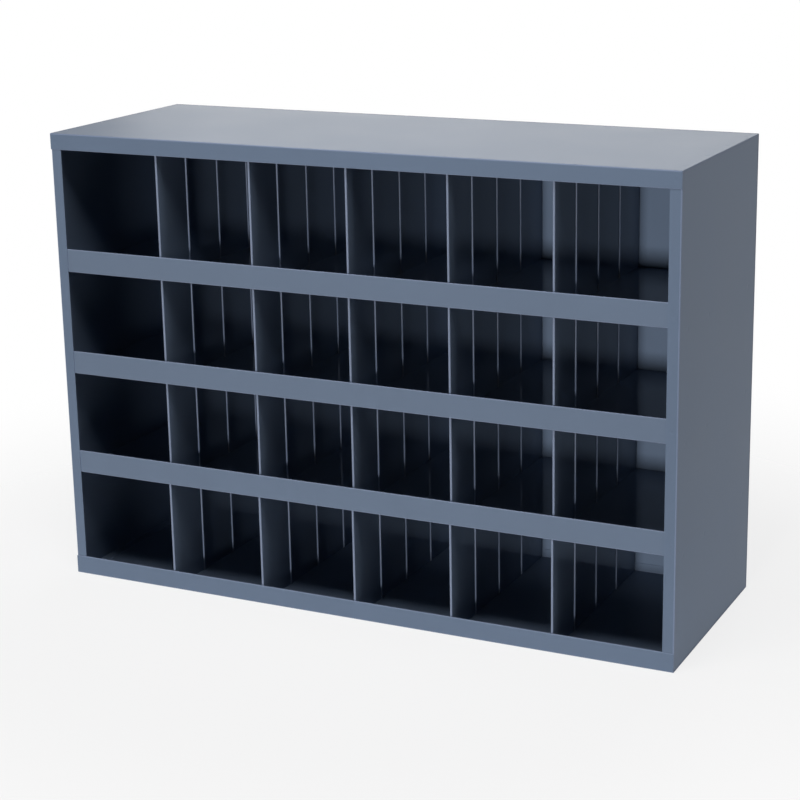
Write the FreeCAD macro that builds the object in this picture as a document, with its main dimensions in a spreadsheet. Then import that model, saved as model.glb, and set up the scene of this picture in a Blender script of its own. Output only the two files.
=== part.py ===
import FreeCAD, Part
import math
import os
import re

import Sketcher
from FreeCAD import Rotation, Vector

# A steel pigeonhole unit: 24 open-fronted bins in four rows of six.
#
# Frame: millimetres, X to the right, Y from front to back, Z up. The origin is the middle of the
# base. The front plane is y = -depth / 2 and the unit stands on z = 0.
#
# Every piece is sheet steel, folded and spot-welded. The outer ring is a top and a bottom channel
# lapped over two side pans, and a flat back sheet closes it. Three shelves with upturned front lips
# lie between the side pans. Twenty upright dividers stand on the shelves, with tabs in slots.

# ---------------------------------------------------------------- sizes

SIZES = [
    ("width", 857.25, "over the side pans"),
    ("depth", 304.8, "front flange to back sheet, outside"),
    ("height", 606.4, "base to top"),
    ("gauge", 0.9, "sheet of the panels, the shelves and the back"),
    ("divider_gauge", 0.7, "sheet of the dividers"),
    ("bend", 0.6, "inside radius of every bend"),
    ("fit", 0.3, "clearance in slots, notches and behind hems"),
    ("top_flange", 21.4, "depth of the flange below the front edge of the top"),
    ("bottom_lip", 24.9, "height of the lip of the bottom row"),
    ("shelf_lip", 30.8, "height of the lip at the front of a shelf"),
    ("side_flange", 14.5, "width of the inward flanges of a side pan"),
    ("turned_edge", 12.0, "width of the rear and end flanges"),
    ("hem_width", 2.4, "thickness of the hem on a lip or flange"),
    ("hem_turn", 8.0, "how far a hem is folded back"),
    ("hem_flat", 0.1, "flat left between the two bends of a hem"),
    ("bottom_row", 146.0, "base to the underside of the lowest shelf"),
    ("shelf_pitch", 138.45, "from one shelf to the next"),
    ("divider_pitch", 136.2, "from one divider to the next"),
    ("divider_setback", 7.0, "front plane to the front edge of a divider on a shelf"),
    ("divider_hem", 3.0, "width of a divider's hemmed front edge"),
    ("bead_pitch", 76.2, "from one stiffening bead to the next, starting at the front plane"),
    ("bead_width", 4.6, "width of a bead at its foot"),
    ("bead_height", 1.5, "how far a bead stands out of the divider"),
    ("bead_flank", 0.7, "front-to-back depth of each steep flank of a bead"),
    ("tab_length", 12.0, "length of a divider's tabs"),
]

SHELF_COUNT = 3
DIVIDERS_PER_ROW = 5
BEADS_PER_DIVIDER = 3
FOOT_TAB_SPANS = (0.5, 3.5)   # foot tabs, in bead pitches behind the front plane
HEAD_TAB_SPANS = (1.5, 2.5)   # head tabs, between the foot tabs so that slots never meet

doc = FreeCAD.newDocument("pigeonhole_unit")
sheet = doc.addObject("Spreadsheet::Sheet", "sizes")
for row, (alias, size, meaning) in enumerate(SIZES, start=1):
    sheet.set(f"A{row}", str(size))
    sheet.setAlias(f"A{row}", alias)
    sheet.set(f"B{row}", meaning)
doc.recompute()

# Faces and levels that several pieces share, as expressions of the sizes.
FRONT = "(-depth / 2)"
SIDE_FLANGE_BACK = "(-depth / 2 + 2 * gauge)"
BACK_SHEET = "(depth / 2 - gauge)"
REAR_FLANGE = "(depth / 2 - 2 * gauge)"
OUTSIDE_BEND = "(bend + gauge)"
HEM_BEND = "((hem_width - hem_flat) / 2)"


def bound(expression):
    """The expression as FreeCAD reads it, with each size looked up in the sheet."""
    return re.sub(r"[a-z]\w*", r"sizes.\g<0>", expression)


def value(expression):
    """The number that an expression of the sizes stands for."""
    return float(sheet.evalExpression(expression))


def bind(feature, **expressions):
    """Tie properties to expressions; a double underscore in a name stands for a dot."""
    for name, expression in expressions.items():
        feature.setExpression(name.replace("__", "."), bound(expression))
    return feature


# ---------------------------------------------------------------- folded sheet

PLANES = {
    "plan": Rotation(),
    "from the right": Rotation(Vector(0, 1, 0), Vector(0, 0, 1), Vector(1, 0, 0)),
    "from the back": Rotation(Vector(-1, 0, 0), Vector(0, 0, 1), Vector(0, 1, 0)),
}
LEFT, RIGHT = "-", ""         # which side of its path the thickness of a sheet lies on


def tie(sketch, name, expression, *constraint):
    """Add a dimension to a sketch, under a name, and tie it to an expression of the sizes."""
    index = sketch.addConstraint(Sketcher.Constraint(*constraint, value(expression)))
    sketch.renameConstraint(index, name)
    bind(sketch, **{f"Constraints__{name}": expression})


def join(sketch, *constraint):
    """Add a constraint that has no size."""
    sketch.addConstraint(Sketcher.Constraint(*constraint))


def bend_arc(before, corner, after, radius):
    """The arc that rounds a corner, the points where it starts and ends, and if it turns left."""
    inward, outward = (before - corner).normalize(), (after - corner).normalize()
    half = inward.getAngle(outward) / 2
    start = corner + inward * (radius / math.tan(half))
    end = corner + outward * (radius / math.tan(half))
    centre = corner + (inward + outward).normalize() * (radius / math.sin(half))
    turns_left = (corner - before).cross(after - corner).z > 0
    first, last = (start, end) if turns_left else (end, start)
    angles = [math.atan2(point.y - centre.y, point.x - centre.x) for point in (first, last)]
    if angles[1] < angles[0]:
        angles[1] += 2 * math.pi
    arc = Part.ArcOfCircle(Part.Circle(centre, Vector(0, 0, 1), radius), *angles)
    return arc, start, end, turns_left


def folded_path(name, seen, corners):
    """A sketch of straight runs through the corners, with a tangent arc at each inner corner.

    A corner is (across, up) or (across, up, radius), all expressions of the sizes.
    """
    sketch = doc.addObject("Sketcher::SketchObject", name)
    sketch.Placement.Rotation = PLANES[seen]
    points = [Vector(value(corner[0]), value(corner[1]), 0) for corner in corners]
    last = len(corners) - 1
    bends = {i: bend_arc(points[i - 1], points[i], points[i + 1], value(corners[i][2]))
             for i in range(1, last)}

    marks = []
    for i, (point, corner) in enumerate(zip(points, corners)):
        marks.append(sketch.addGeometry(Part.Point(point), True))
        tie(sketch, f"across_{i}", corner[0], "DistanceX", -1, 1, marks[i], 1)
        tie(sketch, f"up_{i}", corner[1], "DistanceY", -1, 1, marks[i], 1)

    runs = []
    for i in range(last):
        start = bends[i][2] if i in bends else points[i]
        end = bends[i + 1][1] if i + 1 in bends else points[i + 1]
        runs.append(sketch.addGeometry(Part.LineSegment(start, end)))
    join(sketch, "Coincident", runs[0], 1, marks[0], 1)
    join(sketch, "Coincident", runs[-1], 2, marks[-1], 1)

    for i, (arc, start, end, turns_left) in bends.items():
        index = sketch.addGeometry(arc)
        arc_start, arc_end = (1, 2) if turns_left else (2, 1)
        join(sketch, "PointOnObject", marks[i], 1, runs[i - 1])
        join(sketch, "PointOnObject", marks[i], 1, runs[i])
        join(sketch, "Tangent", runs[i - 1], 2, index, arc_start)
        join(sketch, "Tangent", index, arc_end, runs[i], 1)
        tie(sketch, f"radius_{i}", corners[i][2], "Radius", index)
    return sketch


def thickened(path, side, gauge="gauge"):
    """The end face of a sheet that follows the path, with its thickness on one side of it."""
    face = doc.addObject("Part::Offset2D", path.Name + "_face")
    face.Source = path
    face.Mode = "Skin"
    face.Fill = True
    return bind(face, Value=side + gauge)


def run_out(face, name, direction, length, symmetric=False):
    """The sheet: its end face run out along a direction."""
    solid = doc.addObject("Part::Extrusion", name)
    solid.Base = face
    solid.DirMode = "Custom"
    solid.Dir = direction
    solid.Solid = True
    solid.Symmetric = symmetric
    return bind(solid, LengthFwd=length)


def block(name, corner, extent):
    """A box from its lowest corner and its three lengths, as expressions."""
    box = doc.addObject("Part::Box", name)
    for axis, start in zip("xyz", corner):
        bind(box, **{f"Placement__Base__{axis}": start})
    return bind(box, Length=extent[0], Width=extent[1], Height=extent[2])


def fuse(name, pieces):
    joined = doc.addObject("Part::MultiFuse", name)
    joined.Shapes = pieces
    joined.Refine = True
    return joined


def cut(name, base, tool):
    result = doc.addObject("Part::Cut", name)
    result.Base = base
    result.Tool = tool
    result.Refine = True
    return result


def end_notches(name, y_from, y_to, z_from, z_to):
    """Two boxes that clear the side pans' flanges out of the ends of a lengthwise flange."""
    width = "side_flange + fit"
    extent = (width, f"{y_to} - {y_from}", f"{z_to} - {z_from}")
    starts = {"left": "-width / 2", "right": f"width / 2 - ({width})"}
    return fuse(name, [block(f"{name}_{side}", (start, y_from, z_from), extent)
                       for side, start in starts.items()])


parts = []


def part(feature, label):
    """Name a finished sub-part and list it for export."""
    feature.Label = label
    parts.append(feature)
    return feature


# ---------------------------------------------------------------- top and bottom channels

def channel(name, edge, flange_edge, hem_end, turned, thickness_side):
    """A full-width sheet whose front flange, hemmed, and rear flange are turned the same way.

    edge is the level of the sheet's outer face, flange_edge and hem_end the levels of the front
    flange's edge and of its folded-back hem, and turned the level of the rear flange's edge.
    """
    hem_back = f"{FRONT} + hem_width"
    path = folded_path(f"{name}_path", "from the right", [
        (hem_back, hem_end),
        (hem_back, flange_edge, HEM_BEND),
        (FRONT, flange_edge, HEM_BEND),
        (FRONT, edge, OUTSIDE_BEND),
        (BACK_SHEET, edge, OUTSIDE_BEND),
        (BACK_SHEET, turned),
    ])
    return run_out(thickened(path, thickness_side), f"{name}_folded", Vector(1, 0, 0), "width",
                   symmetric=True)


def hem_notches(name, low, high):
    return end_notches(name, f"({FRONT} + gauge)", f"({FRONT} + hem_width + fit)", low, high)


def rear_notches(name, low, high):
    return end_notches(name, f"({REAR_FLANGE} - fit)", "(depth / 2)", low, high)


def slots(name, spans, columns):
    """Boxes that cut the dividers' tab slots through a sheet lying on z = 0."""
    extent = ("divider_gauge + 2 * fit", "tab_length + 2 * fit", "3 * gauge")
    boxes = []
    for column in columns:
        for count, span in enumerate(spans, start=1):
            corner = (f"{column} * divider_pitch - divider_gauge / 2 - fit",
                      f"{FRONT} + {span} * bead_pitch - tab_length / 2 - fit", "-gauge")
            boxes.append(block(f"{name}_{len(boxes) + 1}", corner, extent))
    return fuse(name, boxes)


columns = [number - (DIVIDERS_PER_ROW - 1) / 2 for number in range(DIVIDERS_PER_ROW)]
foot_slots = slots("foot_slots", FOOT_TAB_SPANS, columns)
head_slots = slots("head_slots", HEAD_TAB_SPANS, columns)

TOP_EDGE = "(height - top_flange)"
top_folded = channel("top", "height", TOP_EDGE, f"{TOP_EDGE} + hem_turn", "height - turned_edge",
                     RIGHT)
top_notches = fuse("top_notches", [
    hem_notches("top_hem_notch", f"({TOP_EDGE} - fit)", f"({TOP_EDGE} + hem_turn + fit)"),
    rear_notches("top_rear_notch", "(height - turned_edge - fit)", "(height - gauge)"),
])
part(cut("top", top_folded, top_notches), "top_panel")

bottom_folded = channel("bottom", "0", "bottom_lip", "bottom_lip - hem_turn", "turned_edge", LEFT)
bottom_notches = fuse("bottom_notches", [
    hem_notches("bottom_hem_notch", "(bottom_lip - hem_turn - fit)", "(bottom_lip + fit)"),
    rear_notches("bottom_rear_notch", "gauge", "(turned_edge + fit)"),
    foot_slots,
])
part(cut("bottom", bottom_folded, bottom_notches), "bottom_panel")


# ---------------------------------------------------------------- side pans and back sheet

def rectangle(body, plane, across, low, high):
    """A sketch in one of a body's origin planes: a rectangle centred across, from low to high."""
    sketch = body.newObject("Sketcher::SketchObject", f"{body.Name}_outline")
    origin_plane = next(item for item in body.Origin.OriginFeatures if item.Role == plane)
    sketch.AttachmentSupport = (origin_plane, [""])
    sketch.MapMode = "FlatFace"
    half, bottom, top = value(across) / 2, value(low), value(high)
    corners = [Vector(-half, bottom, 0), Vector(half, bottom, 0), Vector(half, top, 0),
               Vector(-half, top, 0)]
    for i in range(4):
        sketch.addGeometry(Part.LineSegment(corners[i], corners[(i + 1) % 4]))
    for i in range(4):
        join(sketch, "Coincident", i, 2, (i + 1) % 4, 1)
    join(sketch, "Vertical", 1)
    join(sketch, "Vertical", 3)
    join(sketch, "Horizontal", 2)
    join(sketch, "Symmetric", 0, 1, 0, 2, -2)
    tie(sketch, "across", across, "DistanceX", 0, 1, 0, 2)
    tie(sketch, "bottom", low, "DistanceY", -1, 1, 0, 1)
    tie(sketch, "tall", f"({high}) - ({low})", "DistanceY", 1, 1, 1, 2)
    return sketch


def padded(body, profile, length, reverse=False):
    pad = body.newObject("PartDesign::Pad", f"{body.Name}_pad")
    pad.Profile = profile
    pad.Reversed = reverse
    bind(pad, Length=length)
    doc.recompute()
    return pad


def named(kind, items, test):
    """The names of the edges or faces of a shape that pass a test on their bounds."""
    return [f"{kind}{i}" for i, item in enumerate(items, start=1) if test(item.BoundBox)]


def rounded(body, name, base, edges, radius):
    fillet = body.newObject("PartDesign::Fillet", f"{body.Name}_{name}")
    fillet.Base = (base, edges)
    bind(fillet, Radius=radius)
    doc.recompute()
    return fillet


def side_pan(label, side):
    """A sheet folded inwards along all four edges: a shelled block, open on its inner face."""
    body = doc.addObject("PartDesign::Body", label)
    outline = rectangle(body, "YZ_Plane", "depth - 2 * gauge", "gauge", "height - gauge")
    pad = padded(body, outline, "side_flange", reverse=side > 0)
    open_level = -side * value("side_flange")

    def crosswise(box):
        return box.YLength + box.ZLength < 1e-6

    def on_sheet(box):
        return abs(box.XMin) + abs(box.XMax) < 1e-6

    def on_open_face(box):
        return abs(box.XMin - open_level) + abs(box.XMax - open_level) < 1e-6

    corners = rounded(body, "corners", pad, named("Edge", pad.Shape.Edges, crosswise),
                      f"{OUTSIDE_BEND} + bend")
    bends = rounded(body, "bends", corners, named("Edge", corners.Shape.Edges, on_sheet),
                    OUTSIDE_BEND)
    shell = body.newObject("PartDesign::Thickness", f"{label}_shell")
    shell.Base = (bends, named("Face", bends.Shape.Faces, on_open_face))
    shell.Reversed = True
    bind(shell, Value="gauge")
    body.Tip = shell
    bind(body, Placement__Base__x=f"{side} * width / 2")
    return part(body, label)


side_pan("left_side_panel", -1)
side_pan("right_side_panel", 1)

back = doc.addObject("PartDesign::Body", "back")
padded(back, rectangle(back, "XZ_Plane", "width", "0", "height"), "gauge")
bind(back, Placement__Base__y="depth / 2")
part(back, "back_panel")


# ---------------------------------------------------------------- shelves

# A shelf is drawn with its underside on z = 0 and lifted to its level. Its lip stands behind the
# side pans' front flanges, and its end flanges hang against the side pans' sheets.
lip_back = f"{SIDE_FLANGE_BACK} + hem_width"
lengthwise_path = folded_path("shelf_lengthwise_path", "from the right", [
    (lip_back, "shelf_lip - hem_turn"),
    (lip_back, "shelf_lip", HEM_BEND),
    (SIDE_FLANGE_BACK, "shelf_lip", HEM_BEND),
    (SIDE_FLANGE_BACK, "0", OUTSIDE_BEND),
    (REAR_FLANGE, "0", "bend"),
    (REAR_FLANGE, "-turned_edge"),
])
shelf_lengthwise = run_out(thickened(lengthwise_path, LEFT), "shelf_lengthwise", Vector(1, 0, 0),
                           "width - 2 * (gauge + bend)", symmetric=True)

SHELF_END = "(width / 2 - gauge)"
crosswise_path = folded_path("shelf_crosswise_path", "from the back", [
    (f"-{SHELF_END}", "-turned_edge"),
    (f"-{SHELF_END}", "gauge", OUTSIDE_BEND),
    (SHELF_END, "gauge", OUTSIDE_BEND),
    (SHELF_END, "-turned_edge"),
])
shelf_crosswise = run_out(thickened(crosswise_path, RIGHT), "shelf_crosswise", Vector(0, 1, 0),
                          f"{REAR_FLANGE} - {SIDE_FLANGE_BACK} - 2 * (gauge + bend)",
                          symmetric=True)
shelf_folded = fuse("shelf_folded", [shelf_lengthwise, shelf_crosswise])
shelf_cuts = fuse("shelf_cuts", [
    rear_notches("shelf_rear_notch", "(-turned_edge - fit)", "(gauge + fit)"),
    foot_slots,
    head_slots,
])


def shelf_level(number):
    """The underside of a shelf, counted from the top one."""
    return f"(bottom_row + {SHELF_COUNT - number} * shelf_pitch)"


for number in range(1, SHELF_COUNT + 1):
    shelf = cut(f"shelf_{number}_cut", shelf_folded, shelf_cuts)
    bind(shelf, Placement__Base__z=shelf_level(number))
    part(shelf, f"shelf_{number}")


# ---------------------------------------------------------------- dividers

# A divider is drawn in plan: a hem at the front edge, then a flat web with upright flat-topped beads
# that stand out to the right. It is run out to the clear height of its row and gets its tabs.
WEB = "(divider_gauge / 2)"
DIVIDER_BACK = f"({REAR_FLANGE} - bend)"
DIVIDER_HEM_BEND = "((divider_hem - hem_flat) / 2)"
BEAD_CREST_BEND = "(bend + divider_gauge)"


def divider_face(name, front):
    corners = [
        (f"{WEB} - divider_hem", f"{front} + hem_turn"),
        (f"{WEB} - divider_hem", front, DIVIDER_HEM_BEND),
        (WEB, front, DIVIDER_HEM_BEND),
    ]
    for number in range(1, BEADS_PER_DIVIDER + 1):
        middle = f"{FRONT} + {number} * bead_pitch"
        half_crest = "(bead_width / 2 - bead_flank)"
        corners += [
            (WEB, f"{middle} - bead_width / 2", "bend"),
            (f"{WEB} + bead_height", f"{middle} - {half_crest}", BEAD_CREST_BEND),
            (f"{WEB} + bead_height", f"{middle} + {half_crest}", BEAD_CREST_BEND),
            (WEB, f"{middle} + bead_width / 2", "bend"),
        ]
    corners.append((WEB, DIVIDER_BACK))
    return thickened(folded_path(f"{name}_path", "plan", corners), LEFT, "divider_gauge")


def tabs(name, spans, level):
    extent = ("divider_gauge", "tab_length", "gauge")
    return [block(f"{name}_{count}", (f"-{WEB}", f"{FRONT} + {span} * bead_pitch - tab_length / 2",
                                      level), extent)
            for count, span in enumerate(spans, start=1)]


shelf_divider_face = divider_face("shelf_divider", f"({FRONT} + divider_setback)")
bottom_divider_face = divider_face("bottom_divider", f"({FRONT} + hem_width + fit)")

ROW_COUNT = SHELF_COUNT + 1
for row in range(1, ROW_COUNT + 1):
    floor = "gauge" if row == ROW_COUNT else f"({shelf_level(row)} + gauge)"
    ceiling = "(height - gauge)" if row == 1 else shelf_level(row - 1)
    face = bottom_divider_face if row == ROW_COUNT else shelf_divider_face
    clear_height = f"({ceiling} - {floor})"
    web = run_out(face, f"row_{row}_web", Vector(0, 0, 1), clear_height)
    pieces = [web] + tabs(f"row_{row}_foot_tab", FOOT_TAB_SPANS, "-gauge")
    if row > 1:
        pieces += tabs(f"row_{row}_head_tab", HEAD_TAB_SPANS, clear_height)
    for number, column in enumerate(columns, start=1):
        label = f"divider_row_{row}_{number}"
        divider = fuse(f"{label}_sheet", pieces)
        bind(divider, Placement__Base__x=f"{column} * divider_pitch", Placement__Base__z=floor)
        part(divider, label)


# ---------------------------------------------------------------- check and export

doc.recompute()

faults = [f"{item.Label} is {state}" for item in doc.Objects for state in item.State
          if state in ("Invalid", "Error")]
for item in parts:
    if item.Shape.isNull() or not item.Shape.isValid():
        faults.append(f"{item.Label} has no valid shape")
    elif len(item.Shape.Solids) != 1:
        faults.append(f"{item.Label} is {len(item.Shape.Solids)} solids")
if faults:
    raise RuntimeError("; ".join(faults))

os.makedirs("parts", exist_ok=True)
for item in parts:
    item.Shape.exportStep(f"parts/{item.Label}.step")
    box = item.Shape.BoundBox
    print(f"{item.Label}: volume {item.Shape.Volume:.0f}, x {box.XMin:.2f} to {box.XMax:.2f}, "
          f"y {box.YMin:.2f} to {box.YMax:.2f}, z {box.ZMin:.2f} to {box.ZMax:.2f}")
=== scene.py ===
import math
from collections import namedtuple

import bpy
import numpy as np
from bpy.props import FloatProperty, FloatVectorProperty, PointerProperty
from mathutils import Matrix, Vector


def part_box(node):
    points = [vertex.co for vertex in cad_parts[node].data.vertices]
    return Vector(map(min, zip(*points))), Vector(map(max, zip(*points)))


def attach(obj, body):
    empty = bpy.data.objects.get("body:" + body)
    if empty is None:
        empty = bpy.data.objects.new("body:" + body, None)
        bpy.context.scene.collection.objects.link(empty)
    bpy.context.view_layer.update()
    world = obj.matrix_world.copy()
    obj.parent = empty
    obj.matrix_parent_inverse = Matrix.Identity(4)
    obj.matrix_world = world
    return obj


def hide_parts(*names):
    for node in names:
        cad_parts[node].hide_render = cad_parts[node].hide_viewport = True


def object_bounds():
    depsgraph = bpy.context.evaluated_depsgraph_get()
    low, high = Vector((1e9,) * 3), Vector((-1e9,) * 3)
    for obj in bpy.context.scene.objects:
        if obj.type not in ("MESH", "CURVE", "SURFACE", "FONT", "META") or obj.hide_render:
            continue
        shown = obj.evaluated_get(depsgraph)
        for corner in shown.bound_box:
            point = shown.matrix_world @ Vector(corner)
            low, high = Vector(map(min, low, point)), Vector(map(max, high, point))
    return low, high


bl_info = {
    "name": "Steel pigeonhole unit",
    "version": (1, 0, 0),
    "blender": (4, 5, 0),
    "location": "3D View > Sidebar > Pigeonholes",
    "description": "Folds the enamelled sheets of a steel pigeonhole unit and lights them",
    "category": "Object",
}

# Metres, +X to the right, +Y from the open front to the closed back, +Z up. The middle of the base
# is the origin. Every sheet is drawn as its flat blank is folded: see folded_sheet.

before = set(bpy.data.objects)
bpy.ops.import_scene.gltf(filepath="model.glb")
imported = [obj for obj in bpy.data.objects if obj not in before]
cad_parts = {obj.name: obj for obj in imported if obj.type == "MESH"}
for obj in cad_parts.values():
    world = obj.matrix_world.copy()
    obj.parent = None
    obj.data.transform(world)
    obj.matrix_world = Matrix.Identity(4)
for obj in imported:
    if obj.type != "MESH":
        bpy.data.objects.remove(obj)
CAD_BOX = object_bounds()
MM = 0.001


# ---------------------------------------------------------------- sizes read from the parts in model.glb

def extent(node, axis):
    """A node's size along the axis 0, 1 or 2."""
    low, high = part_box(node)
    return high[axis] - low[axis]


WIDTH, DEPTH, HEIGHT = CAD_BOX[1] - CAD_BOX[0]
FRONT, BACK = CAD_BOX[0].y, CAD_BOX[1].y
ROWS = 4
COLUMNS = 6
GAUGE = extent("back_panel", 1)
TOP_FLANGE = extent("top_panel", 2)
BOTTOM_LIP = extent("bottom_panel", 2)
SIDE_FLANGE = extent("left_side_panel", 0)


def underside(shelf):
    """The level of a shelf's underside, where the foot tabs of the dividers above it end."""
    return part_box(f"divider_row_{shelf}_1")[0].z


SHELF_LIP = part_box("shelf_1")[1].z - underside(1)
TURNED_EDGE = underside(1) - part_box("shelf_1")[0].z


# ---------------------------------------------------------------- what a user can change

def length(name, description, millimetres):
    """A length that a user can change."""
    return FloatProperty(name=name, description=description, default=millimetres * MM, min=0,
                         unit="LENGTH", precision=5)


def ratio(name, description, default, highest=1.0):
    """A plain number that a user can change."""
    return FloatProperty(name=name, description=description, default=default, min=0, max=highest)


def srgb(text):
    """Linear red, green and blue of an sRGB hex colour."""
    parts = np.array([int(text[i:i + 2], 16) for i in (0, 2, 4)]) / 255
    linear = np.where(parts <= 0.04045, parts / 12.92, ((parts + 0.055) / 1.055) ** 2.4)
    return tuple(float(part) for part in linear)


def colour(name, description, text):
    """A colour that a user can change, given as an sRGB hex value."""
    return FloatVectorProperty(name=name, description=description, default=srgb(text), size=3,
                               subtype="COLOR", min=0, max=1)


class PigeonholeSheets(bpy.types.PropertyGroup):
    """Sizes of the folds that the sheets share."""
    divider_gauge: length("Divider gauge", "Thickness of a divider's sheet", 0.7)
    bend: length("Bend", "Inside radius of every bend", 0.6)
    fit: length("Fit", "Clearance in slots and notches", 0.3)
    hem_width: length("Hem width", "Thickness of the hem on a lip or flange", 2.4)
    hem_turn: length("Hem turn", "How far a hem is folded back", 8.0)
    hem_flat: length("Hem flat", "Flat left between the two bends of a hem", 0.1)
    divider_hem: length("Divider hem", "Width of a divider's hemmed front edge", 3.0)
    bead_pitch: length("Bead pitch", "From one upright bead of a divider to the next", 76.2)
    bead_width: length("Bead width", "Width of a bead at its foot", 4.6)
    bead_height: length("Bead height", "How far a bead stands out", 1.5)
    bead_flank: length("Bead flank", "Width of each steep flank of a bead", 0.7)
    tab_length: length("Tab length", "Length of the tabs that hold a divider", 12.0)
    weld_radius: length("Weld radius", "Radius of the dent that a spot weld leaves", 2.6)
    weld_depth: length("Weld depth", "Depth of the dent that a spot weld leaves", 0.2)


class PigeonholeEnamel(bpy.types.PropertyGroup):
    """The baked enamel that covers every sheet. Orange peel is 1 to 5 mm wide and some thousandths
    of a millimetre high, and cold-rolled sheet waves over 100 mm or more."""
    body: colour("Enamel", "Blue-grey of the enamel", "657387")
    # The paler colour is partly enamel drawn thin over edges, partly a painted highlight on bends
    # and cut edges.
    thin: colour("Thin enamel", "Paler enamel, drawn thin over an edge as it is baked", "77839a")
    shell: ratio("Shell roughness", "Roughness of the semi-gloss enamel on the shell", 0.4)
    inner: ratio("Inner roughness", "Roughness of the glossier shelves and dividers", 0.06)
    shell_index: ratio("Shell index", "Refractive index of the shell, for a weak mirror", 1.15, 2)
    shelf_index: ratio("Shelf index", "Refractive index of the enamel on the shelves", 1.25, 2)
    divider_index: ratio("Divider index", "Refractive index of the dividers' enamel", 1.45, 2)
    peel_width: length("Orange peel", "Width of the ripples in the enamel", 2.2)
    peel_depth: length("Orange peel depth", "Height of the ripples in the enamel", 0.002)
    wave_width: length("Sheet wave", "Width of the gentle waves in the rolled sheet", 140.0)
    wave_depth: length("Sheet wave depth", "Height of the gentle waves in the sheet", 0.04)


class PigeonholeStudio(bpy.types.PropertyGroup):
    """The lamps, the floor and the background."""
    overhead: ratio("Overhead", "Power of the softbox above, in watts", 18.0, 1000)
    front: ratio("Front", "Power of the distant softbox in front, in watts", 1225.0, 2000)
    back: ratio("Back", "Power of the softbox behind, in watts", 85.0, 1000)
    left: ratio("Left", "Power of the softbox on the left, in watts", 42.0, 1000)
    right: ratio("Right", "Power of the softbox on the right, in watts", 30.0, 1000)
    sheen: ratio("Sheen", "Power of the wide softbox mirrored in the top, in watts", 11.5, 1000)
    ambient: ratio("Ambient", "Strength of the light from all round", 0.0)
    floor: colour("Floor", "Colour of the pale floor", "ececed")


GROUPS = {
    "pigeonhole_sheets": PigeonholeSheets,
    "pigeonhole_enamel": PigeonholeEnamel,
    "pigeonhole_studio": PigeonholeStudio,
}


def sheets():
    """The sizes of the folds, as the user has set them."""
    return bpy.context.scene.pigeonhole_sheets


# ---------------------------------------------------------------- folded lines and sheets

Line = namedtuple("Line", "points tangents runs")
# points and tangents: arrays of 2D or 3D vectors; runs: first and last index of each straight run

ARC_STEPS = 7  # from one end of a bend to the other
SPACING = 45 * MM  # longest cell on a straight run
SAME = 1e-7  # distances that differ by less are the same
# Where this is 1 the enamel is painted paler: thin enamel, and a painted highlight on bends and cut
# edges.
THIN_ENAMEL_AND_HIGHLIGHT = "thin_enamel_and_painted_highlight"  # attribute: 1 on bends and cut edges, 0 on the flats


def stations(start, end, marks):
    """Distances along a straight run: its ends, each mark on it, and even steps between those."""
    run = end - start
    distance = np.linalg.norm(run)
    axis = np.argmax(abs(run))
    on_run = (np.asarray(marks[axis], float) - start[axis]) / (run[axis] / distance)
    on_run = on_run[(on_run > SAME) & (on_run < distance - SAME)]
    keys = np.unique(np.concatenate([[0, distance], on_run]).round(8))
    filled = [np.linspace(low, high, math.ceil((high - low) / SPACING), endpoint=False)
              for low, high in zip(keys, keys[1:])]
    return np.append(np.concatenate(filled), distance), run / distance


def folded_line(corners, radii=(), marks=((), ())):
    """A line of straight runs whose inner corners are rounded by tangent arcs.

    At a corner with inside angle 2a an arc of radius r starts r / tan(a) before the corner, and its
    centre lies r / sin(a) from it on the bisector. marks gives, for each of the two axes, the
    positions at which a straight run along that axis needs a point.
    """
    corners = np.array(corners, float)
    starts, ends, arcs = list(corners[:-1]), list(corners[1:]), []
    for i, radius in enumerate(radii, start=1):
        back, on = corners[i - 1] - corners[i], corners[i + 1] - corners[i]
        back, on = back / np.linalg.norm(back), on / np.linalg.norm(on)
        half = math.acos(np.clip(back @ on, -1, 1)) / 2
        starts[i] = corners[i] + on * radius / math.tan(half)
        ends[i - 1] = corners[i] + back * radius / math.tan(half)
        bisector = (back + on) / np.linalg.norm(back + on)
        centre = corners[i] + bisector * radius / math.sin(half)
        turn = (math.pi - 2 * half) * (1 if back[1] * on[0] > back[0] * on[1] else -1)
        arcs.append((centre, ends[i - 1] - centre, turn))

    points, tangents, runs, count = [], [], [], 0
    for i, (start, end) in enumerate(zip(starts, ends)):
        distances, direction = stations(start, end, marks)
        points.append(start + distances[:, None] * direction)
        tangents.append(np.tile(direction, (len(distances), 1)))
        runs.append((count, count + len(distances) - 1))
        count += len(distances)
        if i < len(arcs):
            centre, arm, turn = arcs[i]
            angle = np.linspace(0, turn, ARC_STEPS + 1)[1:-1, None]
            swung = np.cos(angle) * arm + np.sin(angle) * np.array([-arm[1], arm[0]])
            points.append(centre + swung)
            square = np.array([-direction[1], direction[0]])
            tangents.append(np.cos(angle) * direction + np.sin(angle) * square)
            count += len(angle)
    return Line(np.concatenate(points), np.concatenate(tangents), runs)


def placed(line, first, second, offset=(0, 0, 0)):
    """A line in space: its two coordinates run along the axes first and second."""
    points, tangents = np.zeros((2, len(line.points), 3))
    points[:, [first, second]] = line.points
    tangents[:, [first, second]] = line.tangents
    return Line(points + np.array(offset, float), tangents, line.runs)


def from_far_end(line):
    """The same line walked from its other end, so the thickness lies on its other side."""
    last = len(line.points) - 1
    runs = [(last - end, last - start) for start, end in line.runs[::-1]]
    return Line(line.points[::-1], -line.tangents[::-1], runs)


def unit(vectors):
    """Vectors scaled to length 1, or left at 0."""
    size = np.linalg.norm(vectors, axis=-1, keepdims=True)
    return np.divide(vectors, size, out=np.zeros_like(vectors), where=size > SAME)


def cells(values):
    """The middle of each cell of a grid line."""
    return (values[1:] + values[:-1]) / 2


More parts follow.
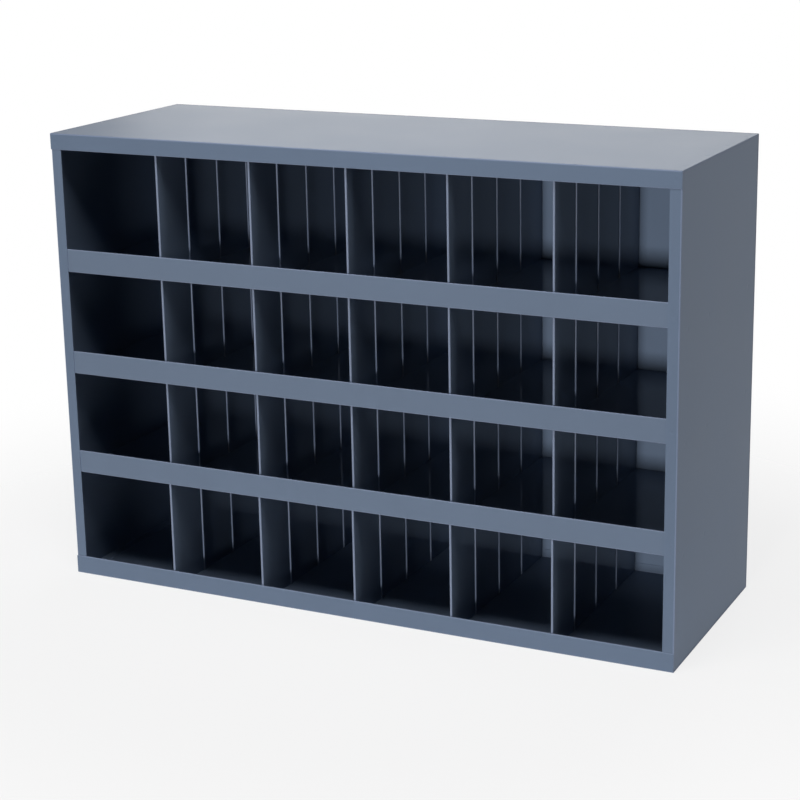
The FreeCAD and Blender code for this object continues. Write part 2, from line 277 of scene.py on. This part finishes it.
def weld_dents(points, centres):
    """Depth of the dents round the spot welds: d * exp(-(r / weld radius) ^ 4)."""
    if len(centres) == 0:
        return np.zeros(points.shape[:2])
    distance = np.linalg.norm(points[:, :, None] - np.asarray(centres, float), axis=-1)
    return (sheets().weld_depth * np.exp(-(distance / sheets().weld_radius) ** 4)).sum(axis=-1)


# Distances from a weld's middle, in weld radii
WELD_RINGS = np.array([-1.6, -1.25, -0.95, -0.65, -0.35, 0.35, 0.65, 0.95, 1.25, 1.6])


def weld_marks(centres):
    """Where a grid line crosses the dents of spot welds, for each place on that line."""
    return (np.asarray(centres)[:, None] + WELD_RINGS * sheets().weld_radius).ravel()


def side_faces(kept, near, far):
    """Faces that close a sheet round the edges of its kept cells."""
    padded = np.pad(kept, 1).astype(int)
    faces = []
    for axis in (0, 1):
        step = np.diff(padded, axis=axis)
        step = step[:, 1:-1] if axis == 0 else step[1:-1, :]
        for sign in (1, -1):
            i, j = np.nonzero(step == sign)
            k, m = (i, j + 1) if axis == 0 else (i + 1, j)
            ring = [near[i, j], near[k, m], far[k, m], far[i, j]]
            forward = (sign == 1) == (axis == 0)
            faces.append(np.stack(ring if forward else ring[::-1], axis=-1))
    return np.concatenate(faces)


def folded_sheet(node, across, along, gauge, kept=None, welds=()):
    """A sheet of even thickness, folded from a blank that is a grid of cells.

    The near face is the sum of two lines, across(u) + along(v), and the far face lies one gauge
    from it along tangent(v) x tangent(u). Only the kept cells are made, so notches, slots and tabs
    are cells left out. A spot weld dents both faces towards each other.
    """
    near = across.points[:, None] + along.points[None]
    normal = unit(np.cross(along.tangents[None], across.tangents[:, None]))
    dents = weld_dents(near + normal * gauge / 2, welds)
    walked = [np.insert(np.cumsum(np.linalg.norm(np.diff(line.points, axis=0), axis=1)), 0, 0)
              for line in (across, along)]
    # Where a run has no length the slope would divide by zero, so every step gets a hair more.
    walked = [distance + np.arange(len(distance)) * SAME for distance in walked]
    slope_u, slope_v = np.gradient(dents, *walked)
    lean = slope_u[..., None] * across.tangents[:, None] + slope_v[..., None] * along.tangents[None]
    near_normal, far_normal = unit(lean - normal), unit(lean + normal)
    far = near + normal * (gauge - dents)[..., None]
    near = near + normal * dents[..., None]

    if kept is None:
        kept = np.ones((near.shape[0] - 1, near.shape[1] - 1), bool)
    number = np.arange(near[..., 0].size).reshape(near.shape[:2])
    i, j = np.nonzero(kept)
    ring = [number[i, j], number[i + 1, j], number[i + 1, j + 1], number[i, j + 1]]
    near_faces = np.stack(ring, axis=-1)
    far_faces = np.stack(ring[::-1], axis=-1) + number.size
    edges = side_faces(kept, number, number + number.size)
    points = np.concatenate([near.reshape(-1, 3), far.reshape(-1, 3)])
    normals = np.concatenate([near_normal.reshape(-1, 3), far_normal.reshape(-1, 3)])
    diagonals = points[edges[:, 2]] - points[edges[:, 0]], points[edges[:, 3]] - points[edges[:, 1]]
    edge_normals = np.repeat(unit(np.cross(*diagonals)), 4, axis=0)
    faces = np.concatenate([near_faces, far_faces, edges])
    corner_normals = np.concatenate([
        normals[near_faces].reshape(-1, 3), normals[far_faces].reshape(-1, 3), edge_normals])
    # Bends and cut edges get the paler colour: thin enamel and a painted highlight.
    turned = np.maximum(bent(across)[:, None], bent(along)[None]).ravel()
    turned = np.concatenate([turned, turned])
    thin_and_highlight = np.concatenate([turned[near_faces].ravel(), turned[far_faces].ravel(),
                              np.ones(edges.size)])
    return new_mesh(f"{node}_sheet", points, faces, corner_normals, thin_and_highlight)


def bent(line):
    """1 at the points of a line's bends and 0 on its straight runs."""
    values = np.ones(len(line.points))
    for first, last in line.runs:
        if np.linalg.norm(line.points[last] - line.points[first]) > MM:
            values[first:last + 1] = 0
    return values


def new_mesh(name, points, faces, corner_normals, thin_and_highlight):
    """An object from arrays, without the points that no face uses."""
    used, packed = np.unique(faces, return_inverse=True)
    mesh = bpy.data.meshes.new(name)
    mesh.from_pydata(points[used].tolist(), [], packed.reshape(faces.shape).tolist())
    mesh.polygons.foreach_set("use_smooth", np.ones(len(faces), bool))
    mesh.attributes.new(THIN_ENAMEL_AND_HIGHLIGHT, "FLOAT", "CORNER").data.foreach_set("value", thin_and_highlight)
    mesh.normals_split_custom_set(corner_normals.tolist())
    item = bpy.data.objects.new(name, mesh)
    bpy.context.scene.collection.objects.link(item)
    return item


def finished(item, node, slot):
    """Dress a sheet in enamel and let it stand for its node."""
    item.data.materials.append(baked_enamel(slot))
    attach(item, "root")
    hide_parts(node)
    return item


def on_run(line, run):
    """Which cells of a line lie on one of its straight runs."""
    first, last = line.runs[run]
    cell = np.arange(len(line.points) - 1)
    return (cell >= first) & (cell < last)


def between(values, low, high):
    """Which values lie inside a range."""
    return (values > low) & (values < high)


# ---------------------------------------------------------------- where the sheets meet

# Front to back: the flanges of the top and bottom channels, the side pans' flanges, the shelf lips.
# At the back the flat back sheet is outermost.
PAN_FRONT = FRONT + GAUGE
LIP_FRONT = FRONT + 2 * GAUGE
BACK_SHEET = BACK - GAUGE
REAR_FLANGE = BACK - 2 * GAUGE
TOP_EDGE = HEIGHT - TOP_FLANGE
SIDE_WELD = WIDTH / 2 - SIDE_FLANGE / 2
HALF_EDGE = TURNED_EDGE / 2
END_RUN = WIDTH / 2 - SIDE_FLANGE
# How far behind the front the tabs lie, in bead pitches
FOOT_TAB_SPANS = (0.5, 3.5)
HEAD_TAB_SPANS = (1.5, 2.5)
EDGE_WELDS = 4  # along each edge from front to back
SHELF_END_WELDS = [0, 1, 3]  # which of those rows a shelf's end flange has
UPRIGHT_WELDS = 7  # up each end of the back sheet
BEADS = 3
MIDDLE_RUN = 1  # of a pan's or a shelf's lengthwise profile, between its two flanges
PLATE_RUN = 3  # of a shelf's profile: hem, hem's turn, lip, plate, rear flange


def outside_bend():
    """Outer radius of a bend."""
    return sheets().bend + GAUGE


def hem_bend():
    """Outer radius of the two bends that make a hem."""
    return (sheets().hem_width - sheets().hem_flat) / 2


def end_zone(x):
    """Where a lengthwise flange is notched to clear the side pans' flanges."""
    return abs(x) > END_RUN - sheets().fit


def end_zone_marks():
    """Where those two notches end along the width."""
    inside = END_RUN - sheets().fit
    return [-inside, inside]


def dividers_in(row):
    """Middle of each divider's sheet in a row, from left to right."""
    offset = sheets().divider_hem - sheets().divider_gauge / 2
    return [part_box(f"divider_row_{row}_{number}")[0].x + offset for number in range(1, COLUMNS)]


def tab_ends(spans, slack=0.0):
    """Front and back end of each tab, or of its slot, behind the front."""
    reach = sheets().tab_length / 2 + slack
    middles = [FRONT + span * sheets().bead_pitch for span in spans]
    return [(middle - reach, middle + reach) for middle in middles]


def slot_marks(spans):
    """Both sides of every slot across the width, and both ends of every slot from front to back."""
    half = sheets().divider_gauge / 2 + sheets().fit
    x_marks = [x + side * half for x in dividers_in(1) for side in (-1, 1)]
    return x_marks, np.ravel(tab_ends(spans, sheets().fit)).tolist()


def in_slots(x, y, spans):
    """Which cells of a plate lie in the slots for the dividers' tabs."""
    half = sheets().divider_gauge / 2 + sheets().fit
    wide = np.any([abs(x - middle) < half for middle in dividers_in(1)], axis=0)
    deep = np.any([between(y, *ends) for ends in tab_ends(spans, sheets().fit)], axis=0)
    return wide & deep


# ---------------------------------------------------------------- pieces

def channel(node, corners, radii, hem_levels, rear_levels, welds, slots=()):
    """A full-width channel: a hemmed front flange, a plate and a rear flange, notched at its
    ends."""
    x_slots, y_slots = slot_marks(slots) if slots else ([], [])
    welds = np.array(welds)
    profile = folded_line(corners, radii, (
        np.append(y_slots, weld_marks(welds[:, 1])), weld_marks(welds[:, 2])))
    length_line = folded_line([(-WIDTH / 2, 0), (WIDTH / 2, 0)], (), (
        np.concatenate([x_slots, end_zone_marks(), weld_marks(welds[:, 0])]), ()))
    across, along = placed(profile, 1, 2), placed(length_line, 0, 1)
    y, z = cells(across.points[:, 1])[:, None], cells(across.points[:, 2])[:, None]
    x = cells(along.points[:, 0])[None]
    behind_flange = between(y, FRONT + GAUGE / 2, FRONT + sheets().hem_width + sheets().fit)
    hem = behind_flange & between(z, *hem_levels)
    rear = (y > REAR_FLANGE - sheets().fit) & between(z, *rear_levels)
    kept = ~((hem | rear) & end_zone(x))
    if slots:
        kept &= ~in_slots(x, y, slots)
    return finished(folded_sheet(node, across, along, GAUGE, kept, welds), node, "panel_enamel")


def top_channel():
    """Profile from the foot of the rear flange over the top and down to the hem, so the thickness
    lies inside; carried along the width."""
    size = sheets()
    hem_back, hem_end = FRONT + size.hem_width, TOP_EDGE + size.hem_turn
    corners = [(BACK_SHEET, HEIGHT - TURNED_EDGE), (BACK_SHEET, HEIGHT), (FRONT, HEIGHT),
               (FRONT, TOP_EDGE), (hem_back, TOP_EDGE), (hem_back, hem_end)]
    radii = [outside_bend(), outside_bend(), hem_bend(), hem_bend()]
    welds = [(side * SIDE_WELD, y, HEIGHT) for side in (-1, 1) for y in edge_weld_rows()]
    welds += [(side * SIDE_WELD, FRONT, TOP_EDGE + TOP_FLANGE / 2) for side in (-1, 1)]
    return channel("top_panel", corners, radii, (TOP_EDGE - size.fit, hem_end + size.fit),
                   (HEIGHT - TURNED_EDGE - size.fit, HEIGHT - GAUGE), welds)


def bottom_channel():
    """Profile from the hem over the lip, under the floor and up the rear flange; carried along the
    width, with slots for the dividers' foot tabs."""
    size = sheets()
    hem_back, hem_end = FRONT + size.hem_width, BOTTOM_LIP - size.hem_turn
    corners = [(hem_back, hem_end), (hem_back, BOTTOM_LIP), (FRONT, BOTTOM_LIP), (FRONT, 0),
               (BACK_SHEET, 0), (BACK_SHEET, TURNED_EDGE)]
    radii = [hem_bend(), hem_bend(), outside_bend(), outside_bend()]
    welds = [(side * SIDE_WELD, y, 0) for side in (-1, 1) for y in edge_weld_rows()]
    welds += [(side * SIDE_WELD, FRONT, BOTTOM_LIP / 2) for side in (-1, 1)]
    return channel("bottom_panel", corners, radii, (hem_end - size.fit, BOTTOM_LIP + size.fit),
                   (GAUGE, TURNED_EDGE + size.fit), welds, FOOT_TAB_SPANS)


def edge_weld_rows():
    """Where spot welds lie along an edge that runs from front to back."""
    return np.linspace(FRONT + DEPTH / 10, BACK - DEPTH / 10, EDGE_WELDS)


def side_pan(node, side):
    """A pan: a plan profile (front flange, side, rear flange) plus an upright profile (foot flange,
    side, head flange). The four corners, where both profiles are turned in, are cut out."""
    outside, inside = side * WIDTH / 2, side * END_RUN
    plan = [(inside, PAN_FRONT), (outside, PAN_FRONT), (outside, BACK_SHEET), (inside, BACK_SHEET)]
    turned = -side * SIDE_FLANGE
    upright = [(turned, GAUGE), (0, GAUGE), (0, HEIGHT - GAUGE), (turned, HEIGHT - GAUGE)]
    lip_levels = [underside(number) + SHELF_LIP / 2 for number in range(1, ROWS)]
    end_levels = [underside(number) - HALF_EDGE for number in range(1, ROWS)]
    rows = edge_weld_rows()[SHELF_END_WELDS]
    flange_x = side * SIDE_WELD
    welds = [(outside, y, z) for y in rows for z in end_levels]
    welds += [(flange_x, PAN_FRONT, z) for z in lip_levels]
    radii = [outside_bend()] * 2
    plan_line = folded_line(plan if side > 0 else plan[::-1], radii,
                            (weld_marks([flange_x]), weld_marks(rows)))
    upright_line = folded_line(upright, radii, ((), weld_marks(lip_levels + end_levels)))
    across, along = placed(plan_line, 0, 1), placed(upright_line, 0, 2)
    kept = on_run(across, MIDDLE_RUN)[:, None] | on_run(along, MIDDLE_RUN)[None]
    return finished(folded_sheet(node, across, along, GAUGE, kept, welds), node, "panel_enamel")


def back_sheet():
    """A flat rectangle over all the rear flanges, dented where it is welded to them."""
    edge_levels = [HALF_EDGE, HEIGHT - HALF_EDGE]
    shelf_levels = [underside(number) - HALF_EDGE for number in range(1, ROWS)]
    between_dividers = np.array(dividers_in(1)[:-1]) + np.diff(dividers_in(1)) / 2
    side_levels = np.linspace(HEIGHT / 8, HEIGHT * 7 / 8, UPRIGHT_WELDS)
    welds = [(x, BACK, z) for x in between_dividers for z in edge_levels + shelf_levels]
    welds += [(side * SIDE_WELD, BACK, z) for side in (-1, 1) for z in side_levels]
    x_marks = weld_marks([*between_dividers, -SIDE_WELD, SIDE_WELD])
    z_marks = weld_marks([*edge_levels, *shelf_levels, *side_levels])
    across = placed(folded_line([(-WIDTH / 2, 0), (WIDTH / 2, 0)], (), (x_marks, ())), 0, 2,
                    (0, BACK, 0))
    along = placed(folded_line([(0, 0), (0, HEIGHT)], (), ((), z_marks)), 0, 2)
    sheet = folded_sheet("back_panel", from_far_end(across), along, GAUGE, None, welds)
    return finished(sheet, "back_panel", "panel_enamel")


def shelf(number):
    """A profile from the hem of the lip to the foot of the rear flange, plus a lengthwise profile
    with an end flange turned down at each end; slots take the dividers' tabs."""
    size = sheets()
    node, level = f"shelf_{number}", underside(number)
    lip_back = LIP_FRONT + size.hem_width
    x_slots, y_slots = slot_marks(FOOT_TAB_SPANS + HEAD_TAB_SPANS)
    profile = folded_line(
        [(lip_back, SHELF_LIP - size.hem_turn), (lip_back, SHELF_LIP), (LIP_FRONT, SHELF_LIP),
         (LIP_FRONT, 0), (REAR_FLANGE, 0), (REAR_FLANGE, -TURNED_EDGE)],
        [hem_bend(), hem_bend(), outside_bend(), size.bend], (y_slots, ()))
    end = WIDTH / 2 - 2 * GAUGE
    lengthwise = folded_line([(-end, -TURNED_EDGE), (-end, 0), (end, 0), (end, -TURNED_EDGE)],
                             [size.bend, size.bend], (x_slots + end_zone_marks(), ()))
    across, along = placed(profile, 1, 2, (0, 0, level)), placed(lengthwise, 0, 2)
    y, x = cells(across.points[:, 1])[:, None], cells(along.points[:, 0])[None]
    plate = on_run(across, PLATE_RUN)[:, None]
    kept = plate | on_run(along, MIDDLE_RUN)[None]
    kept &= ~((y > REAR_FLANGE - size.fit) & end_zone(x))
    kept &= ~(plate & in_slots(x, y, FOOT_TAB_SPANS + HEAD_TAB_SPANS))
    return finished(folded_sheet(node, across, along, GAUGE, kept), node, "shelf_enamel")


def divider(row, number):
    """A plan profile (hem, web, three flat-topped beads) carried up the row, with tabs at foot and
    head."""
    size = sheets()
    node = f"divider_row_{row}_{number}"
    middle, front = dividers_in(row)[number - 1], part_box(node)[0].y
    web = size.divider_gauge / 2
    hem = (size.divider_hem - size.hem_flat) / 2
    corners = [(web - size.divider_hem, front + size.hem_turn), (web - size.divider_hem, front),
               (web, front)]
    radii = [hem, hem]
    foot, crest = size.bead_width / 2, size.bead_width / 2 - size.bead_flank
    raised, crest_bend = web + size.bead_height, size.bend + size.divider_gauge
    for bead in range(1, BEADS + 1):
        y = FRONT + bead * size.bead_pitch
        corners += [(web, y - foot), (raised, y - crest), (raised, y + crest), (web, y + foot)]
        radii += [size.bend, crest_bend, crest_bend, size.bend]
    corners.append((web, REAR_FLANGE - size.bend))
    foot_tabs, head_tabs = tab_ends(FOOT_TAB_SPANS), tab_ends(HEAD_TAB_SPANS)
    profile = folded_line(corners, radii, ((), np.ravel(foot_tabs + head_tabs)))
    low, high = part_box(node)[0].z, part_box(node)[1].z
    floor = low + GAUGE
    ceiling = high - GAUGE if row > 1 else high
    upright = folded_line([(0, low), (0, high)], (), ((), (floor, ceiling)))
    across, along = placed(profile, 0, 1, (middle, 0, 0)), placed(upright, 0, 2)
    y, z = cells(across.points[:, 1])[:, None], cells(along.points[:, 2])[None]
    foot_tab = (z < floor) & np.any([between(y, *ends) for ends in foot_tabs], axis=0)
    head_tab = (z > ceiling) & np.any([between(y, *ends) for ends in head_tabs], axis=0)
    kept = between(z, floor, ceiling) & np.ones_like(y, bool) | foot_tab | head_tab
    sheet = folded_sheet(node, across, along, size.divider_gauge, kept)
    return finished(sheet, node, "divider_enamel")


# ---------------------------------------------------------------- enamel

def add(tree, kind, links=(), **settings):
    """Add a node: settings go to its inputs or its own properties, links join its inputs."""
    node = tree.nodes.new(kind)
    for name, value in settings.items():
        if hasattr(node, name):
            setattr(node, name, value)
        else:
            node.inputs[name.replace("_", " ")].default_value = value
    for socket, source in dict(links).items():
        tree.links.new(source, node.inputs[socket])
    return node


def fresh_tree(owner):
    """The empty node tree of a material or a world."""
    owner.use_nodes = True
    owner.node_tree.nodes.clear()
    return owner.node_tree


CLOUD_WIDTH = 90 * MM  # width of the faint clouds in tone and gloss
CLOUD_RANGE = {"From_Min": 0.3, "From_Max": 0.7}  # what the cloud noise spans
TONE = {"To_Min": 0.98, "To_Max": 1.015}
GLOSS = (0.97, 1.03)
FACTOR, COLOUR_A, COLOUR_B, MIXED = 0, 6, 7, 2  # sockets of a Mix node that mixes colours


def baked_enamel(slot):
    """Baked enamel, sprayed on degreased steel sheet and stoved.

    The shell's film is semi-gloss, so it mirrors the room weakly and softly. The shelves and
    dividers are glossier, so they mirror the back sheet with a clear edge. The indexes start from
    the 1.5 of solid enamel and are lowered where the mirror is weaker. The film keeps a faint
    orange peel. Bends and cut edges are painted paler: partly enamel drawn thin as it is baked,
    partly a painted highlight where those rounded edges catch the light. The rolled sheet
    below waves by a fraction of a millimetre, so broad reflections bow.
    """
    name = f"baked_{slot}"
    if name in bpy.data.materials:
        return bpy.data.materials[name]
    paint = bpy.context.scene.pigeonhole_enamel
    roughness, index = {"panel_enamel": (paint.shell, paint.shell_index),
                        "shelf_enamel": (paint.inner, paint.shelf_index),
                        "divider_enamel": (paint.inner, paint.divider_index)}[slot]
    material = bpy.data.materials.new(name)
    tree = fresh_tree(material)
    place = add(tree, "ShaderNodeTexCoord").outputs["Object"]

    cloud = add(tree, "ShaderNodeTexNoise", {"Vector": place}, Scale=1 / CLOUD_WIDTH, Detail=3.0)
    tone = add(tree, "ShaderNodeMapRange", {"Value": cloud.outputs["Fac"]}, **CLOUD_RANGE, **TONE)
    body = add(tree, "ShaderNodeMix", {COLOUR_B: tone.outputs["Result"]},
               data_type="RGBA", blend_type="MULTIPLY")
    body.inputs[FACTOR].default_value = 1
    body.inputs[COLOUR_A].default_value = (*paint.body, 1)

    # Bends and cut edges are painted paler: thin enamel, and a painted highlight that those edges
    # catch.
    thin = add(tree, "ShaderNodeAttribute", attribute_name=THIN_ENAMEL_AND_HIGHLIGHT)
    colours = add(tree, "ShaderNodeMix", {FACTOR: thin.outputs["Fac"],
                                          COLOUR_A: body.outputs[MIXED]}, data_type="RGBA")
    colours.inputs[COLOUR_B].default_value = (*paint.thin, 1)

    wave = add(tree, "ShaderNodeTexNoise", {"Vector": place}, Scale=1 / paint.wave_width,
               Detail=1.0)
    bowed = add(tree, "ShaderNodeBump", {"Height": wave.outputs["Fac"]}, Strength=1.0,
                Distance=paint.wave_depth)
    peel = add(tree, "ShaderNodeTexNoise", {"Vector": place}, Scale=1 / paint.peel_width,
               Detail=2.0)
    rippled = add(tree, "ShaderNodeBump",
                  {"Height": peel.outputs["Fac"], "Normal": bowed.outputs["Normal"]},
                  Strength=1.0, Distance=paint.peel_depth)
    sheen = add(tree, "ShaderNodeMapRange", {"Value": cloud.outputs["Fac"]}, **CLOUD_RANGE,
                To_Min=roughness * GLOSS[0], To_Max=roughness * GLOSS[1])
    surface = add(tree, "ShaderNodeBsdfPrincipled",
                  {"Base Color": colours.outputs[MIXED], "Roughness": sheen.outputs["Result"],
                   "Normal": rippled.outputs["Normal"]}, Metallic=0.0, IOR=index)
    add(tree, "ShaderNodeOutputMaterial", {"Surface": surface.outputs["BSDF"]})
    return material


# ---------------------------------------------------------------- studio

def softbox(name, place, target, size, power, mirrored=False):
    """A rectangular soft lamp that faces a target. Only a mirrored one shows in the enamel."""
    lamp = bpy.data.lights.new(name, "AREA")
    lamp.shape = "RECTANGLE"
    lamp.size, lamp.size_y = size
    lamp.energy = power
    item = bpy.data.objects.new(name, lamp)
    item.location = place
    item.rotation_euler = (Vector(target) - Vector(place)).to_track_quat("-Z", "Y").to_euler()
    item.visible_glossy = mirrored
    bpy.context.scene.collection.objects.link(item)


def seen_directly(tree):
    """1 for rays from the camera and for mirrored and transmitted ones: they see the
    background."""
    path = add(tree, "ShaderNodeLightPath")
    mirrored = add(tree, "ShaderNodeMath", {0: path.outputs["Is Camera Ray"],
                                            1: path.outputs["Is Glossy Ray"]}, operation="MAXIMUM")
    return add(tree, "ShaderNodeMath", {0: mirrored.outputs[0],
                                        1: path.outputs["Is Transmission Ray"]},
               operation="MAXIMUM").outputs[0]


def surroundings():
    """A white room that is seen and mirrored. Only the ambient strength lights the object."""
    studio = bpy.context.scene.pigeonhole_studio
    world = bpy.data.worlds.new("pale_room")
    bpy.context.scene.world = world
    tree = fresh_tree(world)
    ambient = add(tree, "ShaderNodeBackground", Color=(1, 1, 1, 1), Strength=studio.ambient)
    white = add(tree, "ShaderNodeBackground", Color=(1, 1, 1, 1), Strength=1.0)
    mixed = add(tree, "ShaderNodeMixShader", {0: seen_directly(tree),
                                              1: ambient.outputs[0], 2: white.outputs[0]})
    add(tree, "ShaderNodeOutputWorld", {"Surface": mixed.outputs[0]})


FLOOR_RADIUS = 1.6
FLOOR_RINGS, FLOOR_SPOKES = 23, 72
FLOOR_LIFT = 0.8  # share of the floor that is seen as white, the rest shows light and shadow
FADE_START, FADE_END = 0.3 * FLOOR_RADIUS, 0.75 * FLOOR_RADIUS


def pale_floor():
    """A disc on z = 0: radius times the cosine and sine of the angle. It keeps the shadow near the
    object and fades into the white room towards its rim."""
    studio = bpy.context.scene.pigeonhole_studio
    radius = np.linspace(0, 1, FLOOR_RINGS + 1)[1:, None] * FLOOR_RADIUS
    angle = np.linspace(0, 2 * math.pi, FLOOR_SPOKES, endpoint=False)[None]
    ring = np.stack([radius * np.cos(angle), radius * np.sin(angle), 0 * radius * angle], axis=-1)
    points = np.concatenate([[[0, 0, 0]], ring.reshape(-1, 3)])
    number = 1 + np.arange(ring[..., 0].size).reshape(ring.shape[:2])
    following = np.roll(number, -1, axis=1)
    quads = np.stack([number[:-1], number[1:], following[1:], following[:-1]], axis=-1)
    fan = np.stack([np.zeros(FLOOR_SPOKES, int), number[0], following[0]], axis=-1)
    mesh = bpy.data.meshes.new("floor")
    mesh.from_pydata(points.tolist(), [], quads.reshape(-1, 4).tolist() + fan.tolist())
    item = bpy.data.objects.new("floor", mesh)
    bpy.context.scene.collection.objects.link(item)
    material = bpy.data.materials.new("pale_floor")
    tree = fresh_tree(material)
    matt = add(tree, "ShaderNodeBsdfDiffuse", Color=(*studio.floor, 1))
    white = add(tree, "ShaderNodeEmission", Color=(1, 1, 1, 1), Strength=1.0)
    lifted = add(tree, "ShaderNodeMath", {0: seen_directly(tree)}, operation="MULTIPLY")
    lifted.inputs[1].default_value = FLOOR_LIFT
    floor = add(tree, "ShaderNodeMixShader", {0: lifted.outputs[0], 1: matt.outputs[0],
                                              2: white.outputs[0]})
    clear = add(tree, "ShaderNodeBsdfTransparent")
    place = add(tree, "ShaderNodeTexCoord").outputs["Object"]
    reach = add(tree, "ShaderNodeVectorMath", {0: place}, operation="LENGTH")
    fade = add(tree, "ShaderNodeMapRange", {"Value": reach.outputs["Value"]},
               interpolation_type="SMOOTHSTEP", From_Min=FADE_START, From_Max=FADE_END)
    faded = add(tree, "ShaderNodeMixShader", {0: fade.outputs["Result"], 1: floor.outputs[0],
                                              2: clear.outputs[0]})
    add(tree, "ShaderNodeOutputMaterial", {"Surface": faded.outputs[0]})
    mesh.materials.append(material)


CAMERA_PLACE = (1.1044, -2.2291, 0.9678)
CAMERA_TURN = (25.224, 14.887, -0.797)  # degrees to the left, down and round the lens
LENS, SENSOR_WIDTH = 88.127, 36  # millimetres
SHIFT = -0.05  # part of the frame, across and up


def camera():
    """A long lens at the front right, a little above the unit and tilted down at it."""
    yaw, pitch, roll = map(math.radians, CAMERA_TURN)
    level = Vector((-math.sin(yaw), math.cos(yaw), 0))
    right = Vector((math.cos(yaw), math.sin(yaw), 0))
    ahead = math.cos(pitch) * level - math.sin(pitch) * Vector((0, 0, 1))
    upright = math.cos(pitch) * Vector((0, 0, 1)) + math.sin(pitch) * level
    across = math.cos(roll) * right + math.sin(roll) * upright
    up = math.cos(roll) * upright - math.sin(roll) * right
    lens = bpy.data.cameras.new("camera")
    lens.lens, lens.sensor_width = LENS, SENSOR_WIDTH
    lens.shift_x = lens.shift_y = SHIFT
    item = bpy.data.objects.new("camera", lens)
    turn = Matrix((across, up, -ahead)).transposed()
    item.matrix_world = Matrix.Translation(CAMERA_PLACE) @ turn.to_4x4()
    bpy.context.scene.collection.objects.link(item)
    bpy.context.scene.camera = item


def lamps():
    """Softboxes all round. The front one is far off and low, so its light reaches the back sheet
    through every bin. The sheen one is what the top mirrors."""
    studio = bpy.context.scene.pigeonhole_studio
    middle = (0, 0, HEIGHT / 2)
    softbox("overhead", (0.1, -0.8, 2.0), (0, 0, HEIGHT), (0.9, 0.7), studio.overhead)
    softbox("front", (0.35, -14.0, 1.15), middle, (1.3, 1.3), studio.front)
    softbox("back", (0, 4.2, 0.9), middle, (1.2, 1.0), studio.back)
    softbox("left", (-3.2, -0.1, 0.8), middle, (1.0, 1.0), studio.left)
    softbox("right", (3.2, -0.1, 0.8), middle, (1.0, 1.0), studio.right)
    softbox("sheen", (-1.15, 2.7, 1.1), middle, (1.85, 0.8), studio.sheen, mirrored=True)


# ---------------------------------------------------------------- add-on

class PIGEONHOLE_OT_channels(bpy.types.Operator):
    """Fold the top and bottom channels"""
    bl_idname = "pigeonhole.channels"
    bl_label = "Top and bottom channels"

    def execute(self, context):
        top_channel()
        bottom_channel()
        return {"FINISHED"}


class PIGEONHOLE_OT_sides(bpy.types.Operator):
    """Fold the two side pans"""
    bl_idname = "pigeonhole.sides"
    bl_label = "Side pans"

    def execute(self, context):
        side_pan("left_side_panel", -1)
        side_pan("right_side_panel", 1)
        return {"FINISHED"}


class PIGEONHOLE_OT_back(bpy.types.Operator):
    """Cut the flat back sheet"""
    bl_idname = "pigeonhole.back"
    bl_label = "Back sheet"

    def execute(self, context):
        back_sheet()
        return {"FINISHED"}


class PIGEONHOLE_OT_shelves(bpy.types.Operator):
    """Fold the shelves with their front lips"""
    bl_idname = "pigeonhole.shelves"
    bl_label = "Shelves"

    def execute(self, context):
        for number in range(1, ROWS):
            shelf(number)
        return {"FINISHED"}


class PIGEONHOLE_OT_dividers(bpy.types.Operator):
    """Fold the beaded dividers of every row"""
    bl_idname = "pigeonhole.dividers"
    bl_label = "Dividers"

    def execute(self, context):
        for row in range(1, ROWS + 1):
            for number in range(1, COLUMNS):
                divider(row, number)
        return {"FINISHED"}


class PIGEONHOLE_OT_studio(bpy.types.Operator):
    """Set up the floor, the room, the lamps and the camera"""
    bl_idname = "pigeonhole.studio"
    bl_label = "Studio"

    def execute(self, context):
        context.scene.view_settings.view_transform = "Standard"
        surroundings()
        pale_floor()
        lamps()
        camera()
        return {"FINISHED"}


OPERATORS = (PIGEONHOLE_OT_channels, PIGEONHOLE_OT_sides, PIGEONHOLE_OT_back,
             PIGEONHOLE_OT_shelves, PIGEONHOLE_OT_dividers, PIGEONHOLE_OT_studio)


class PIGEONHOLE_PT_panel(bpy.types.Panel):
    """Everything that the unit is made of, and its sizes and colours"""
    bl_idname = "PIGEONHOLE_PT_panel"
    bl_label = "Pigeonhole unit"
    bl_space_type = "VIEW_3D"
    bl_region_type = "UI"
    bl_category = "Pigeonholes"

    def draw(self, context):
        for operator in OPERATORS:
            self.layout.operator(operator.bl_idname)
        for group in GROUPS:
            box = self.layout.box()
            values = getattr(context.scene, group)
            for name in values.bl_rna.properties.keys():
                if name not in ("rna_type", "name"):
                    box.prop(values, name)


CLASSES = (*GROUPS.values(), *OPERATORS, PIGEONHOLE_PT_panel)


def register():
    """Add the classes, and give every scene its groups of sizes and colours."""
    for item in CLASSES:
        bpy.utils.register_class(item)
    for name, group in GROUPS.items():
        setattr(bpy.types.Scene, name, PointerProperty(type=group))


def unregister():
    """Take them away again."""
    for name in GROUPS:
        delattr(bpy.types.Scene, name)
    for item in reversed(CLASSES):
        bpy.utils.unregister_class(item)


def main():
    """Make every piece and the stage."""
    register()
    for operator in OPERATORS:
        category, name = operator.bl_idname.split(".")
        getattr(getattr(bpy.ops, category), name)()


if __name__ == "__main__":
    main()
